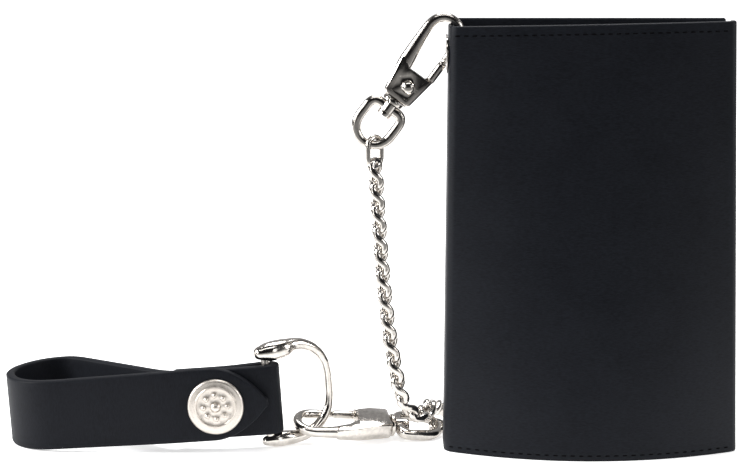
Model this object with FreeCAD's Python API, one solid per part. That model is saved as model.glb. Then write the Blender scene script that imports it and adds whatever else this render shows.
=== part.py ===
import FreeCAD, Part
import math
import os

# Trifold chain wallet standing on its lower edge, with a curb chain from an
# eyelet in its left spine to a leather belt strap lying beside it.
# Millimetres, +Z up, +Y away from the viewer. The origin is the middle of the
# lower edge of the back leather.

V = FreeCAD.Vector

# ---- wallet -------------------------------------------------------------
WALLET_WIDTH = 76.0
WALLET_HEIGHT = 114.0
LEATHER = 1.6
SPINE_DEPTH = 12.6        # back leather middle to the front fold line
BULGE = 9.0               # how far the front panel swells forward
BACK_TOP = 0.8            # the back leather stands this much above the front
POCKET_SHEET = 0.8
INNER_FOLD_Y = -4.6       # middle of the inner flap's leather
INNER_TOP = 99.0
DIVIDER_SAGITTA = 5.0
HINGE_GAP = 0.1

# ---- eyelet -------------------------------------------------------------
EYELET_HEIGHT = 105.9     # above the wallet's lower edge
EYELET_Y = -6.6
EYELET_HOLE = 6.7
EYELET_BARREL = 7.3
EYELET_FLANGE = 10.4
EYELET_FRONT = 0.4
EYELET_BACK = 0.4

# ---- snap hook, in its own plane: u along it, v across, w through it -----
HOOK_LENGTH = 26.9
LOOP_RADIUS = 4.5         # middle of the bar
BAR = 1.9
BODY_LENGTH = 9.4
BODY_THICK = 3.4
BODY_NARROW = 8.2
BODY_WIDE = 11.0
NOSE_TIP_U = 15.5
PIN_U = 4.7
PIN_V = -0.8
PIN_D = 1.4
SLOT = 1.7
POST_D = 2.4
EYE_HALF = 5.0
EYE_WIRE = 2.0
EYE_BAR_U = -2.7
EYE_BAR = 2.4
EYE_ARC_U = -9.0

# ---- chain ---------------------------------------------------------------
WIRE = 1.5
LINK_LENGTH = 9.0
LINK_WIDTH = 6.0
LINK_TWIST = 80.0
LINK_GAP = 0.07
CHAIN_ROLL = math.radians(-62.4)   # how the hanging chain is turned
FIRST_WIRE = 1.4

# ---- belt strap ----------------------------------------------------------
STRAP = 18.8
STRAP_THICK = 2.4
STRAP_TILT = 3.9         # the ring end is lifted off the ground
BAR_X = -84.9
BAR_Y = -9.8
RING_BAR = 2.4
LOOP_X = -141.3
LOOP_Y = -0.8
STRAP_LOOP_R = 10.1
TONGUE_Y = -14.85
TONGUE_TIP_X = -84.6
TONGUE_OPEN = 80.0
SNAP_X = -98.5
SNAP_CAP = 15.0


# ---- small helpers -------------------------------------------------------
def cylinder(start, direction, radius, length):
    return Part.makeCylinder(radius, length, start, direction)


def box(x0, x1, y0, y1, z0, z1):
    return Part.makeBox(x1 - x0, y1 - y0, z1 - z0, V(x0, y0, z0))


def fused(shapes):
    result = shapes[0].multiFuse(shapes[1:]) if len(shapes) > 1 else shapes[0]
    result = result.removeSplitter()
    if len(result.Solids) == 1:
        return result.Solids[0]
    return result


def one_solid(shape):
    return max(shape.Solids, key=lambda solid: solid.Volume)


def save(name, shape):
    shape.exportStep("parts/" + name + ".step")


def frame_matrix(origin, u, v, w):
    return FreeCAD.Matrix(
        u.x, v.x, w.x, origin.x,
        u.y, v.y, w.y, origin.y,
        u.z, v.z, w.z, origin.z,
        0, 0, 0, 1)


def placed(shape, matrix):
    copy = shape.copy()
    copy.transformShape(matrix)
    return copy


def ring_arc(centre, normal, start, radius, degrees):
    """Part of a ring: a disc at start, turned about normal through centre."""
    arm = start - centre
    tangent = normal.cross(arm)
    circle = Part.Circle(start, tangent, radius)
    face = Part.Face(Part.Wire(circle.toShape()))
    return face.revolve(centre, normal, degrees)


# ---- wallet pieces -------------------------------------------------------
def arc_sheet(half, y_edge, sagitta, offset, thick, z0, z1):
    """A sheet that swells forward: an arc in plan through (half, y_edge).

    The sheet lies from offset to offset + thick behind that arc."""
    radius = (half * half + sagitta * sagitta) / (2 * sagitta)
    centre_y = y_edge - sagitta + radius
    edges = []
    ends = []
    for r in (radius - offset, radius - offset - thick):
        drop = math.sqrt(r * r - half * half)
        left = V(-half, centre_y - drop, z0)
        right = V(half, centre_y - drop, z0)
        middle = V(0, centre_y - r, z0)
        edges.append(Part.Arc(left, middle, right).toShape())
        ends.append((left, right))
    edges.append(Part.makeLine(ends[0][0], ends[1][0]))
    edges.append(Part.makeLine(ends[0][1], ends[1][1]))
    wire = Part.Wire(Part.__sortEdges__(edges))
    return Part.Face(wire).extrude(V(0, 0, z1 - z0))


def rounded_sheet(x0, x1, y0, y1, z0, z1, radius):
    """A flat upright sheet with its two upper corners rounded."""
    sheet = box(x0, x1, y0, y1, z0, z1)
    corners = []
    for edge in sheet.Edges:
        middle = edge.CenterOfMass
        along_y = abs(edge.Length - (y1 - y0)) < 1e-6
        if along_y and abs(middle.z - z1) < 1e-6:
            corners.append(edge)
    return sheet.makeFillet(radius, corners)


HALF = WALLET_WIDTH / 2
SKIN = LEATHER / 2
FOLD_X = HALF - SKIN
FRONT_Y = -SPINE_DEPTH
UP = V(0, 0, 1)


def make_wallet():
    out = {}

    # Outer flap: back leather, left spine and the knuckle it folds on.
    back = rounded_sheet(-HALF, HALF - 1.0, -SKIN, SKIN, 0, WALLET_HEIGHT + BACK_TOP, 2.0)
    back = back.cut(box(-HALF - 1, -HALF + LEATHER, -SKIN - 1, SKIN + 1, WALLET_HEIGHT - 0.7, 200))
    spine = box(-HALF, -HALF + LEATHER, FRONT_Y, SKIN, 0, WALLET_HEIGHT - 0.7)
    knuckle = cylinder(V(-FOLD_X, FRONT_Y, 0), UP, SKIN, WALLET_HEIGHT - 0.7)
    hole = cylinder(V(-HALF - 1, EYELET_Y, EYELET_HEIGHT), V(1, 0, 0), EYELET_BARREL / 2, 4)
    out["cover_back"] = fused([back, spine, knuckle]).cut(hole)

    # Eyelet: a flanged barrel from outside and a washer inside.
    start = V(-HALF - EYELET_FRONT, EYELET_Y, EYELET_HEIGHT)
    through = LEATHER + EYELET_FRONT + EYELET_BACK
    flange = cylinder(start, V(1, 0, 0), EYELET_FLANGE / 2, EYELET_FRONT)
    barrel = cylinder(start, V(1, 0, 0), EYELET_BARREL / 2, through)
    bore = cylinder(start - V(1, 0, 0), V(1, 0, 0), EYELET_HOLE / 2, through + 2)
    out["eyelet_flange"] = fused([flange, barrel]).cut(bore)
    inner = V(-HALF + LEATHER, EYELET_Y, EYELET_HEIGHT)
    washer = cylinder(inner, V(1, 0, 0), EYELET_FLANGE / 2 - 0.3, EYELET_BACK)
    out["eyelet_washer"] = washer.cut(cylinder(inner - V(1, 0, 0), V(1, 0, 0), EYELET_BARREL / 2, 3))

    # Lining, identity window and its frame, on the inside of the back leather.
    out["back_lining"] = rounded_sheet(-34.5, 35.5, -SKIN - POCKET_SHEET, -SKIN, 1.5, 97.0, 2.0)
    y1 = -SKIN - POCKET_SHEET
    frame_sheet = rounded_sheet(-33.5, 35.0, y1 - POCKET_SHEET, y1, 2.0, 92.0, 2.0)
    window_hole = box(-25.0, 27.0, y1 - 2, y1 + 1, 14.0, 80.0)
    out["id_frame"] = frame_sheet.cut(window_hole)
    out["id_window"] = box(-25.0, 27.0, y1 - 0.3, y1, 14.0, 80.0)

    # Middle panel: front leather, right spine, bill divider, card pockets.
    front = arc_sheet(FOLD_X - SKIN - HINGE_GAP, FRONT_Y, BULGE, -SKIN, LEATHER, 0, WALLET_HEIGHT)
    right_low = FRONT_Y - 0.9
    right = box(HALF - LEATHER, HALF, right_low, INNER_FOLD_Y - SKIN - HINGE_GAP, 0, WALLET_HEIGHT)
    corner = box(FOLD_X - SKIN - HINGE_GAP - 0.3, HALF, right_low, FRONT_Y + 0.9, 0, WALLET_HEIGHT)
    out["cover_front"] = fused([front, right, corner])
    divider_y = -11.8
    out["bill_divider"] = arc_sheet(32.0, divider_y, DIVIDER_SAGITTA, 0, 1.0, 1.0, 107.0)
    for index in range(3):
        offset = 1.03 + index * (POCKET_SHEET + 0.03)
        top = 90.0 - index * 13.0
        sheet = arc_sheet(31.5, divider_y, DIVIDER_SAGITTA, offset, POCKET_SHEET, 1.5, top)
        out["front_pocket_%d" % (index + 1)] = sheet

    # Inner flap: its leather with a knuckle at the right, and card pockets.
    leather = rounded_sheet(-32.0, FOLD_X, INNER_FOLD_Y - SKIN, INNER_FOLD_Y + SKIN, 1.0, INNER_TOP, 4.0)
    square = box(20.0, FOLD_X, INNER_FOLD_Y - SKIN, INNER_FOLD_Y + SKIN, 1.0, INNER_TOP)
    knuckle = cylinder(V(FOLD_X, INNER_FOLD_Y, 1.0), UP, SKIN, INNER_TOP - 1.0)
    out["cover_inner"] = fused([leather, square, knuckle])
    for index in range(3):
        y_hi = INNER_FOLD_Y - SKIN - index * POCKET_SHEET
        top = 88.0 - index * 13.0
        sheet = rounded_sheet(-31.0, 33.5, y_hi - POCKET_SHEET, y_hi, 1.5, top, 1.5)
        out["inner_pocket_%d" % (index + 1)] = sheet
    return out


# ---- snap hook pieces, in hook coordinates -------------------------------
def make_hook():
    out = {}
    r = BAR / 2
    arc_u = HOOK_LENGTH - LOOP_RADIUS - r
    w = V(0, 0, 1)

    # Cast body: a tapering block, waisted, with a bow bent round to a nose.
    half0 = BODY_NARROW / 2
    half1 = BODY_WIDE / 2
    outline = [V(0, -half0 + 1.0, 0), V(0, half0 - 1.0, 0), V(1.0, half0, 0),
               V(BODY_LENGTH, half1, 0), V(BODY_LENGTH + 1.2, half1 - 0.6, 0),
               V(BODY_LENGTH + 0.4, half1 - 2.2, 0), V(BODY_LENGTH - 0.4, 1.8, 0),
               V(BODY_LENGTH - 0.4, -half1 + 1.9, 0), V(BODY_LENGTH, -half1 + 0.2, 0),
               V(1.0, -half0, 0)]
    wire = Part.makePolygon(outline + [outline[0]])
    block = Part.Face(wire).extrude(V(0, 0, BODY_THICK))
    block.translate(V(0, 0, -BODY_THICK / 2))
    rims = []
    for edge in block.Edges:
        z_low = min(vertex.Z for vertex in edge.Vertexes)
        z_high = max(vertex.Z for vertex in edge.Vertexes)
        flat = abs(z_high - z_low) < 1e-6
        if flat and edge.CenterOfMass.x < BODY_LENGTH - 0.5:
            rims.append(edge)
    block = block.makeChamfer(0.45, rims)

    # A shallow shield-shaped recess in each broad face.
    shield = [V(1.6, -2.4, 0), V(1.6, 2.4, 0), V(5.5, 3.1, 0), V(8.0, 0.6, 0), V(5.5, -3.1, 0)]
    cutter = Part.Face(Part.makePolygon(shield + [shield[0]])).extrude(V(0, 0, 1.0))
    for z in (BODY_THICK / 2 - 0.3, -BODY_THICK / 2 - 0.7):
        recess = cutter.copy()
        recess.translate(V(0, 0, z))
        block = block.cut(recess)
    pad = cylinder(V(PIN_U, PIN_V, -BODY_THICK / 2 + 0.05), w, 1.9, BODY_THICK - 0.1)
    block = block.fuse(pad)

    bow = [cylinder(V(BODY_LENGTH - 1.5, LOOP_RADIUS, 0), V(1, 0, 0), r, arc_u - BODY_LENGTH + 1.5)]
    bow.append(ring_arc(V(arc_u, 0, 0), V(0, 0, -1), V(arc_u, LOOP_RADIUS, 0), r, 180))
    bow.append(cylinder(V(NOSE_TIP_U, -LOOP_RADIUS, 0), V(1, 0, 0), r, arc_u - NOSE_TIP_U))
    body = fused([block] + bow)

    # The slot that the gate's hub and arm turn in, the pin hole, the post bore.
    hub = cylinder(V(PIN_U, PIN_V, -SLOT / 2), w, 2.2, SLOT)
    arm_slot = [V(PIN_U - 1.2, PIN_V - 1.9, 0), V(BODY_LENGTH - 1.5, -9.0, 0),
                V(BODY_LENGTH + 3, -9.0, 0), V(BODY_LENGTH + 3, -0.4, 0), V(PIN_U + 0.5, PIN_V + 2.1, 0)]
    slot = Part.Face(Part.makePolygon(arm_slot + [arm_slot[0]])).extrude(V(0, 0, SLOT))
    slot.translate(V(0, 0, -SLOT / 2))
    notch = cylinder(V(BODY_LENGTH - 1.2, -LOOP_RADIUS, 0), V(1, 0.02, 0), r + 0.25, 4)
    pin_hole = cylinder(V(PIN_U, PIN_V, -5), w, PIN_D / 2, 10)
    bore = cylinder(V(-1, 0, 0), V(1, 0, 0), POST_D / 2, 2.9)
    for tool in (hub, slot, notch, pin_hole, bore):
        body = body.cut(tool)
    out["body"] = one_solid(body)

    # Gate: a hub on the pin, an arm, and the round bar that closes the loop.
    hub = cylinder(V(PIN_U, PIN_V, -0.7), w, 1.8, 0.9)
    arm = Part.makePolygon([V(PIN_U - 0.2, PIN_V - 1.7, 0), V(BODY_LENGTH + 0.3, -LOOP_RADIUS - 0.85, 0),
                            V(BODY_LENGTH + 0.3, -LOOP_RADIUS + 0.85, 0), V(PIN_U + 0.4, PIN_V + 1.6, 0),
                            V(PIN_U - 0.2, PIN_V - 1.7, 0)])
    arm = Part.Face(arm).extrude(V(0, 0, 0.9))
    arm.translate(V(0, 0, -0.7))
    bar = cylinder(V(BODY_LENGTH, -LOOP_RADIUS, 0), V(1, 0, 0), r - 0.05, NOSE_TIP_U - 0.15 - BODY_LENGTH)
    # Its end is rounded about the pin, so that it swings past the nose.
    nose_gap = math.hypot(NOSE_TIP_U - PIN_U, -LOOP_RADIUS + r - PIN_V) - 0.1
    bar = bar.common(cylinder(V(PIN_U, PIN_V, -5), w, nose_gap, 10))
    hole = cylinder(V(PIN_U, PIN_V, -3), w, PIN_D / 2 + 0.05, 6)
    out["gate"] = fused([hub, arm, bar]).cut(hole)

    # Gate pin, peened into a slotted round head on each side.
    shank = cylinder(V(PIN_U, PIN_V, -BODY_THICK / 2), w, PIN_D / 2, BODY_THICK)
    heads = []
    for side in (1, -1):
        base = V(PIN_U, PIN_V, side * (BODY_THICK / 2 - 0.05))
        head = cylinder(base, V(0, 0, side), 1.45, 0.45)
        groove = box(PIN_U - 2, PIN_U + 2, PIN_V - 0.15, PIN_V + 0.15, 0, 0.3)
        lift = BODY_THICK / 2 + 0.2 if side > 0 else -BODY_THICK / 2 - 0.5
        groove.translate(V(0, 0, lift))
        heads.append(head.cut(groove))
    out["gate_pin"] = fused([shank] + heads)

    # Gate spring: one closed turn of wire on the pin beside the hub.
    out["gate_spring"] = Part.makeTorus(1.15, 0.2, V(PIN_U, PIN_V, 0.5), w)

    # Swivel: washer, headed post and stirrup-shaped eye.
    washer = cylinder(V(-1.15, 0, 0), V(1, 0, 0), 3.1, 1.0)
    out["washer"] = washer.cut(cylinder(V(-2, 0, 0), V(1, 0, 0), POST_D / 2, 3))
    post = cylinder(V(EYE_BAR_U - EYE_BAR / 2 - 0.1, 0, 0), V(1, 0, 0), POST_D / 2, 1.9 + EYE_BAR / 2 + 0.1 - EYE_BAR_U)
    head = cylinder(V(EYE_BAR_U - EYE_BAR / 2 - 1.3, 0, 0), V(1, 0, 0), 1.95, 1.2)
    out["swivel_post"] = fused([post, head])
    bar = box(EYE_BAR_U - EYE_BAR / 2, EYE_BAR_U + EYE_BAR / 2, -EYE_HALF - 0.6, EYE_HALF + 0.6, -1.3, 1.3)
    wire = EYE_WIRE / 2
    legs = [cylinder(V(EYE_ARC_U, side * EYE_HALF, 0), V(1, 0, 0), wire, EYE_BAR_U - EYE_ARC_U) for side in (1, -1)]
    arc = ring_arc(V(EYE_ARC_U, 0, 0), V(0, 0, 1), V(EYE_ARC_U, EYE_HALF, 0), wire, 180)
    bore = cylinder(V(-9, 0, 0), V(1, 0, 0), POST_D / 2 + 0.1, 9)
    eye = fused([bar, arc] + legs)
    out["eye"] = eye.cut(cylinder(V(EYE_BAR_U - 2, 0, 0), V(1, 0, 0), POST_D / 2 + 0.08, 4))
    return out


# ---- chain ---------------------------------------------------------------
def link_points(centre, t, wide, thin, length, width, twist, wire, count):
    """Points on the middle line of one link, for spacing links apart."""
    rad = (width - wire) / 2
    run = (length - wire) / 2 - rad
    result = []
    for end in (1, -1):
        angle = math.radians(end * twist / 2)
        side = wide * math.cos(angle) + thin * math.sin(angle)
        for k in range(count + 1):
            a = math.pi * k / count - math.pi / 2
            result.append(centre + t * (end * (run + rad * math.cos(a))) + side * (rad * math.sin(a)))
    for sign in (1, -1):
        ends = []
        for end in (1, -1):
            angle = math.radians(end * twist / 2)
            side = wide * math.cos(angle) + thin * math.sin(angle)
            ends.append(centre + t * (end * run) + side * (sign * rad))
        for k in range(1, 6):
            result.append(ends[0] + (ends[1] - ends[0]) * (k / 6.0))
    return result


def link_solid(centre, t, wide, thin, length, width, twist, wire):
    """One link: two half rings turned against each other, joined by bars."""
    r = wire / 2
    rad = (width - wire) / 2
    run = (length - wire) / 2 - rad
    pieces = []
    corners = {}
    for end in (1, -1):
        angle = math.radians(end * twist / 2)
        side = wide * math.cos(angle) + thin * math.sin(angle)
        middle = centre + t * (end * run)
        start = middle + side * rad
        normal = side.cross(t) * end
        pieces.append(ring_arc(middle, normal, start, r, 180))
        for sign in (1, -1):
            corners[(end, sign)] = middle + side * (rad * sign)
    for sign in (1, -1):
        a = corners[(1, sign)]
        b = corners[(-1, sign)]
        pieces.append(cylinder(a, b - a, r, (b - a).Length))
        if twist:
            pieces.append(Part.makeSphere(r, a))
            pieces.append(Part.makeSphere(r, b))
    return fused(pieces)


def path_point(points, s):
    """A smooth curve through the points, at s counted in points."""
    i = max(0, min(len(points) - 2, int(math.floor(s))))
    f = s - i
    p1 = points[i]
    p2 = points[i + 1]
    p0 = points[i - 1] if i > 0 else p1 * 2 - p2
    p3 = points[i + 2] if i + 2 < len(points) else p2 * 2 - p1
    a = p1 * 2
    b = (p2 - p0) * f
    c = (p0 * 2 - p1 * 5 + p2 * 4 - p3) * (f * f)
    d = (p1 * 3 - p0 - p2 * 3 + p3) * (f * f * f)
    return (a + b + c + d) * 0.5


def nearest(points_a, points_b):
    return min((a - b).Length for a in points_a for b in points_b)


# The line the chain lies along: down from the upper eye, over the lower eye,
# round a loop on the ground behind the wallet and back to the lower eye.
CHAIN_LINE = [
    V(-57.1, -6.6, 86.0), V(-57.1, -6.6, 79.7), V(-56.6, -6.6, 73.1), V(-55.9, -6.6, 62.5),
    V(-55.2, -6.6, 52.5), V(-54.2, -6.6, 41.5), V(-52.8, -6.6, 30.5), V(-51.0, -7.01, 20.5),
    V(-49.31, -6.54, 13.73), V(-47.07, -4.89, 9.68), V(-44.15, -1.23, 6.85), V(-42.3, 3.39, 7.4),
    V(-40.78, 8.45, 7.33), V(-38.9, 13.52, 5.2), V(-36.05, 18.99, 3.32), V(-31.4, 25.6, 2.72),
    V(-24.61, 31.0, 2.72), V(-15.67, 32.29, 2.72), V(-7.04, 28.3, 2.72), V(-4.15, 19.88, 2.72),
    V(-8.18, 12.13, 2.72), V(-16.77, 8.77, 2.72), V(-26.94, 7.6, 2.72), V(-36.65, 5.29, 2.62),
    V(-45.0, 2.95, 2.52)]
FIRST_CENTRE = V(-57.1, -6.6, 79.95)
LAST_CENTRE = V(-37.9, 5.2, 2.4)


def lay_links():
    """Walk along the line: each link is drawn on until it is nearly taut."""
    frames = []
    down = V(0, 0, -1)
    turn = math.radians(54)
    first_wide = V(math.cos(turn), math.sin(turn), 0)
    frames.append((FIRST_CENTRE, down, first_wide, down.cross(first_wide)))
    last_points = link_points(FIRST_CENTRE, down, first_wide, down.cross(first_wide),
                              LINK_LENGTH, LINK_WIDTH, 0, FIRST_WIRE, 12)
    wires = FIRST_WIRE + WIRE
    wide = V(math.cos(CHAIN_ROLL), math.sin(CHAIN_ROLL), 0)
    s = 1.0
    while True:
        best = None
        chosen = None
        q = s
        while q < len(CHAIN_LINE) - 1.2:
            centre = path_point(CHAIN_LINE, q)
            distance = (centre - frames[-1][0]).Length
            if distance > 6.15:
                break
            if distance > 5.35:
                t = path_point(CHAIN_LINE, q + 0.3) - path_point(CHAIN_LINE, q - 0.3)
                t.normalize()
                w0 = wide - t * wide.dot(t)
                w0.normalize()
                n0 = t.cross(w0)
                for roll in (0, 8, -8, 16, -16, 24, -24):
                    a = math.radians(roll)
                    w = w0 * math.cos(a) + n0 * math.sin(a)
                    n = t.cross(w)
                    points = link_points(centre, t, w, n, LINK_LENGTH, LINK_WIDTH, LINK_TWIST, WIRE, 12)
                    gap = nearest(points, last_points) - wires / 2
                    trial = (gap, q, centre, t, w, n, points, w0)
                    if gap > LINK_GAP:
                        chosen = trial
                        break
                    if best is None or gap > best[0]:
                        best = trial
            q += 0.008
        pick = chosen or best
        if pick is None:
            break
        gap, s, centre, t, w, n, last_points, wide = pick
        frames.append((centre, t, w, n))
        wires = 2 * WIRE
        if len(frames) > 20 and (centre - LAST_CENTRE).Length < 3.0:
            break
    return frames


# ---- belt strap ----------------------------------------------------------
def sector(centre, radius, thick, a0, a1, height):
    """Part of an upright tube wall, from angle a0 to a1 in degrees."""
    inner = radius - thick / 2
    outer = radius + thick / 2

    def at(r, a):
        return V(centre.x + r * math.cos(math.radians(a)), centre.y + r * math.sin(math.radians(a)), 0)

    mid = (a0 + a1) / 2
    edges = [Part.Arc(at(outer, a0), at(outer, mid), at(outer, a1)).toShape(),
             Part.makeLine(at(outer, a1), at(inner, a1)),
             Part.Arc(at(inner, a1), at(inner, mid), at(inner, a0)).toShape(),
             Part.makeLine(at(inner, a0), at(outer, a0))]
    face = Part.Face(Part.Wire(Part.__sortEdges__(edges)))
    return face.extrude(V(0, 0, height))


def strip(a, b, thick, height):
    """A straight upright strip from a to b."""
    d = b - a
    side = V(-d.y, d.x, 0)
    side.normalize()
    side = side * (thick / 2)
    wire = Part.makePolygon([a + side, b + side, b - side, a - side, a + side])
    return Part.Face(wire).extrude(V(0, 0, height))


def make_strap():
    out = {}
    t = STRAP_THICK
    wrap = RING_BAR / 2 + 0.1 + t / 2
    bar = V(BAR_X, BAR_Y, 0)
    front_y = BAR_Y - wrap
    rear_y = front_y + t

    # Short end behind the main layer, curving in from round the ring's bar.
    neck_x = BAR_X - 8.0
    end_x = SNAP_X - 11.0
    loop = V(LOOP_X, LOOP_Y, 0)
    away = V(neck_x - BAR_X, rear_y - BAR_Y, 0)
    leave = math.atan2(away.y, away.x) % (2 * math.pi) - math.acos(wrap / away.Length)
    touch = bar + V(math.cos(leave), math.sin(leave), 0) * wrap
    pieces = [sector(bar, wrap, t, -90, math.degrees(leave), STRAP)]
    pieces.append(strip(touch, V(neck_x, rear_y, 0), t, STRAP))
    pieces.append(strip(V(neck_x, rear_y, 0), V(end_x, rear_y, 0), t, STRAP))
    pieces.append(cylinder(V(neck_x, rear_y, 0), UP, t / 2, STRAP))
    pieces.append(strip(V(BAR_X, front_y, 0), V(neck_x, front_y, 0), t, STRAP))
    # Main layer: straight past the snap, then out to the back of the loop.
    bend_r = 30.0
    bend = V(SNAP_X - 6.0, front_y + bend_r, 0)
    pieces.append(strip(V(neck_x, front_y, 0), V(bend.x, front_y, 0), t, STRAP))
    gap = bend - loop
    reach = math.hypot(gap.x, gap.y)
    base = math.atan2(gap.y, gap.x)
    lean = math.acos((bend_r + STRAP_LOOP_R) / reach)
    a_loop = base + lean
    a_bend = a_loop + math.pi
    p_loop = V(loop.x + STRAP_LOOP_R * math.cos(a_loop), loop.y + STRAP_LOOP_R * math.sin(a_loop), 0)
    p_bend = V(bend.x + bend_r * math.cos(a_bend), bend.y + bend_r * math.sin(a_bend), 0)
    pieces.append(sector(bend, bend_r, t, math.degrees(a_bend), 270, STRAP))
    pieces.append(strip(p_bend, p_loop, t, STRAP))
    # Round the left end and forward to where the tongue bends open.
    pieces.append(sector(loop, STRAP_LOOP_R, t, math.degrees(a_loop), 262, STRAP))
    strap = fused(pieces)
    hinge = tongue_hinge()
    strap = strap.cut(cylinder(V(hinge.x, hinge.y, -1), UP, t / 2 + 0.1, STRAP + 2))
    # Room for the tongue when it is folded right open.
    a_open = math.atan2(TONGUE_Y - hinge.y, 14.0) - math.radians(TONGUE_OPEN + 3.0)
    opened = V(hinge.x + 8.0 * math.cos(a_open), hinge.y + 8.0 * math.sin(a_open), 0)
    strap = strap.cut(strip(hinge, opened, t + 0.2, STRAP))
    strap = one_solid(strap)

    # Pointed tongue, ending in an ogive.
    z_mid = STRAP / 2
    shoulder = TONGUE_TIP_X - 10.5
    y0 = TONGUE_Y - t / 2
    top = Part.Arc(V(shoulder, y0, STRAP), V(shoulder + 6.6, y0, STRAP - 3.4), V(TONGUE_TIP_X, y0, z_mid)).toShape()
    low = Part.Arc(V(TONGUE_TIP_X, y0, z_mid), V(shoulder + 6.6, y0, 3.4), V(shoulder, y0, 0)).toShape()
    start_x = hinge.x + 14.0
    lines = [Part.makeLine(V(shoulder, y0, 0), V(start_x, y0, 0)),
             Part.makeLine(V(start_x, y0, 0), V(start_x, y0, STRAP)),
             Part.makeLine(V(start_x, y0, STRAP), V(shoulder, y0, STRAP))]
    wire = Part.Wire(Part.__sortEdges__([top, low] + lines))
    blade = Part.Face(wire).extrude(V(0, t, 0))
    root = strip(V(hinge.x, hinge.y, 0), V(start_x, TONGUE_Y, 0), t, STRAP)
    knuckle = cylinder(V(hinge.x, hinge.y, 0), UP, t / 2, STRAP)
    joint = cylinder(V(start_x, TONGUE_Y, 0), UP, t / 2, STRAP)
    tongue = fused([blade, root, knuckle, joint])

    # Snap: cap and socket on the tongue, stud and post on the strap.
    toward = V(0, -1, 0)
    cap_face = TONGUE_Y - t / 2
    centre = V(SNAP_X, cap_face, z_mid)
    cap = cylinder(centre, toward, SNAP_CAP / 2, 1.0)
    rim_edges = [e for e in cap.Edges if abs(e.CenterOfMass.y - (cap_face - 1.0)) < 1e-6]
    cap = cap.makeFillet(0.8, rim_edges)
    stem = cylinder(V(SNAP_X, cap_face, z_mid), V(0, 1, 0), 2.0, t)
    ring = Part.makeTorus(SNAP_CAP / 2 - 2.2, 0.35, V(SNAP_X, cap_face - 1.0, z_mid), toward)
    pips = []
    for k in range(8):
        a = math.radians(45.0 * k)
        p = V(SNAP_X + 3.2 * math.cos(a), cap_face - 1.0, z_mid + 3.2 * math.sin(a))
        pips.append(Part.makeSphere(0.75, p))
    boss = Part.makeSphere(1.5, V(SNAP_X, cap_face - 0.7, z_mid))
    cap = fused([cap, ring, boss, stem] + pips)
    tongue = tongue.cut(cylinder(V(SNAP_X, cap_face - 1, z_mid), V(0, 1, 0), 2.0, t + 2))
    inside = TONGUE_Y + t / 2
    pocket = front_y - t / 2
    socket_depth = 1.3
    socket = cylinder(V(SNAP_X, inside, z_mid), V(0, 1, 0), 4.6, socket_depth)
    cavity = cylinder(V(SNAP_X, inside + 0.35, z_mid), V(0, 1, 0), 2.75, socket_depth)
    socket = socket.cut(cavity)
    # The strap is countersunk where the socket and the stud's plate sit.
    seat = cylinder(V(SNAP_X, pocket - 1, z_mid), V(0, 1, 0), 5.4, 1 + inside + socket_depth + 0.5 - pocket)
    strap = strap.cut(seat)
    floor_y = inside + socket_depth + 0.5
    plate = cylinder(V(SNAP_X, floor_y, z_mid), V(0, -1, 0), 4.6, 0.3)
    knob = cylinder(V(SNAP_X, floor_y, z_mid), V(0, -1, 0), 2.45, 1.45)
    stud = fused([plate, knob])
    back_y = rear_y + t / 2
    hole = cylinder(V(SNAP_X, floor_y - 2, z_mid), V(0, 1, 0), 1.4, back_y - floor_y + 4)
    strap = strap.cut(hole)
    stud = stud.cut(cylinder(V(SNAP_X, floor_y - 1.0, z_mid), V(0, 1, 0), 1.4, 3))
    stem = cylinder(V(SNAP_X, floor_y - 1.0, z_mid), V(0, 1, 0), 1.4, back_y - floor_y + 1.0)
    flat = cylinder(V(SNAP_X, back_y, z_mid), V(0, 1, 0), 4.6, 0.7)
    post = fused([stem, flat])
    out["strap"] = one_solid(strap)
    out["strap_tongue"] = tongue
    out["snap_cap"] = cap
    out["snap_socket"] = socket
    out["snap_stud"] = stud
    out["snap_post"] = post
    return out


def tongue_hinge():
    a = math.radians(262)
    return V(LOOP_X + STRAP_LOOP_R * math.cos(a), LOOP_Y + STRAP_LOOP_R * math.sin(a), 0)


# ---- cast ring -----------------------------------------------------------
RING_TURN = 28.5
RING_OUTER = 29.0
RING_REACH = 18.4
RING_CORNER = 10.5
RING_BOSS = 2.15
RING_SLIP = 0.65         # the strap has slid down onto the lower boss


def make_ring():
    """A cast D ring in its own plane: p out from the bar, q up the bar."""
    half = RING_OUTER / 2 - 1.0
    run = RING_REACH - RING_CORNER
    y = V(0, 1, 0)
    bow_r = 1.0
    boss_q = RING_OUTER / 2 - RING_BOSS
    pieces = [cylinder(V(0, 0, -boss_q), UP, RING_BAR / 2, 2 * boss_q)]
    for side in (1, -1):
        start = V(run, 0, side * half)
        corner = V(run, 0, side * (half - RING_CORNER))
        pieces.append(ring_arc(corner, y * side, start, bow_r, 90))
        boss = V(0.8, 0, side * boss_q)
        lean = start - boss
        pieces.append(Part.makeCone(RING_BOSS, bow_r, lean.Length, boss, lean))
        pieces.append(Part.makeSphere(RING_BOSS + 0.02, boss))
        pieces.append(Part.makeSphere(bow_r + 0.05, start))
    low = -half + RING_CORNER
    pieces.append(cylinder(V(RING_REACH, 0, low), UP, bow_r, -2 * low))
    return fused(pieces)


# ---- build ---------------------------------------------------------------
def unit(x, y, z):
    v = V(x, y, z)
    v.normalize()
    return v


HOOK_ANGLE = 53.5
UPPER_START = V(-51.75, EYELET_Y, 93.85)
LOWER_START = V(-53.1, 0.7, 3.75)
LOWER_DIRECTION = unit(-0.960, -0.257, 0.092)
LOWER_LEAN = 20.0
LOWER_EYE_LEAN = -3.0


def upper_matrix():
    a = math.radians(HOOK_ANGLE)
    u = V(math.cos(a), 0, math.sin(a))
    v = V(-math.sin(a), 0, math.cos(a))
    return frame_matrix(UPPER_START, u, v, u.cross(v))


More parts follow.
